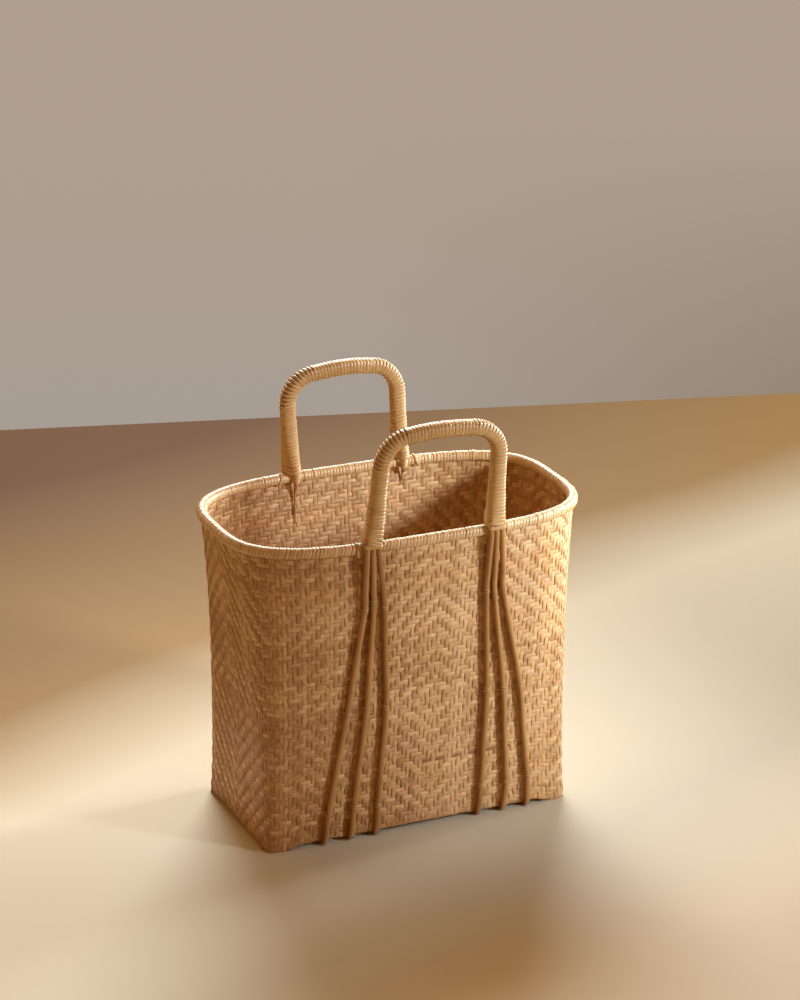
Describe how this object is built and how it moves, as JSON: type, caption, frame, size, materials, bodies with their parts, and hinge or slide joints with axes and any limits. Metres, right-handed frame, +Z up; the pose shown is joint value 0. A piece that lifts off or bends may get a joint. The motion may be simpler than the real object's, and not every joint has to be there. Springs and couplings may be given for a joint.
{
  "type": "bamboo shopping basket",
  "caption": "Rectangular twill-woven bamboo basket that flares to a rounded bound rim, with two upright bound cane handles whose canes run down the walls and under the base.",
  "frame": {"origin": "bottom centre of the basket, on the ground", "axes": "+Z up, +X along the long side, -Y towards the front wall with the taller handle"},
  "size_m": [0.35, 0.2215, 0.4045],
  "materials": {
    "weave": "twill-woven split bamboo strips, satin, honey to olive tan",
    "hoop": "split bamboo hoop, satin",
    "cane": "whole peeled bamboo cane, satin, warm yellow tan",
    "strip": "thin split bamboo strip, wound, satin to glossy",
    "tie": "thin split bamboo strip, satin"
  },
  "bodies": {
    "root": {"woven_body": "weave", "rim_outer_hoop": "hoop", "rim_inner_hoop": "hoop", "rim_top_cane": "cane", "rim_binding": "strip", "front_handle_outer_cane": "cane", "front_handle_middle_cane": "cane", "front_handle_inner_cane": "cane", "front_handle_core": "cane", "front_handle_binding": "strip", "front_left_foot_wrap": "strip", "front_left_rim_lashing": "strip", "front_left_outer_tie_upper": "tie", "front_left_middle_tie_upper": "tie", "front_left_inner_tie_upper": "tie", "front_left_outer_tie_middle": "tie", "front_left_middle_tie_middle": "tie", "front_left_inner_tie_middle": "tie", "front_left_outer_tie_lower": "tie", "front_left_middle_tie_lower": "tie", "front_left_inner_tie_lower": "tie", "front_right_foot_wrap": "strip", "front_right_rim_lashing": "strip", "front_right_outer_tie_upper": "tie", "front_right_middle_tie_upper": "tie", "front_right_inner_tie_upper": "tie", "front_right_outer_tie_middle": "tie", "front_right_middle_tie_middle": "tie", "front_right_inner_tie_middle": "tie", "front_right_outer_tie_lower": "tie", "front_right_middle_tie_lower": "tie", "front_right_inner_tie_lower": "tie", "back_handle_outer_cane": "cane", "back_handle_middle_cane": "cane", "back_handle_inner_cane": "cane", "back_handle_core": "cane", "back_handle_binding": "strip", "back_left_foot_wrap": "strip", "back_left_rim_lashing": "strip", "back_left_outer_tie_upper": "tie", "back_left_middle_tie_upper": "tie", "back_left_inner_tie_upper": "tie", "back_left_outer_tie_middle": "tie", "back_left_middle_tie_middle": "tie", "back_left_inner_tie_middle": "tie", "back_left_outer_tie_lower": "tie", "back_left_middle_tie_lower": "tie", "back_left_inner_tie_lower": "tie", "back_right_foot_wrap": "strip", "back_right_rim_lashing": "strip", "back_right_outer_tie_upper": "tie", "back_right_middle_tie_upper": "tie", "back_right_inner_tie_upper": "tie", "back_right_outer_tie_middle": "tie", "back_right_middle_tie_middle": "tie", "back_right_inner_tie_middle": "tie", "back_right_outer_tie_lower": "tie", "back_right_middle_tie_lower": "tie", "back_right_inner_tie_lower": "tie"}
  },
  "joints": []
}
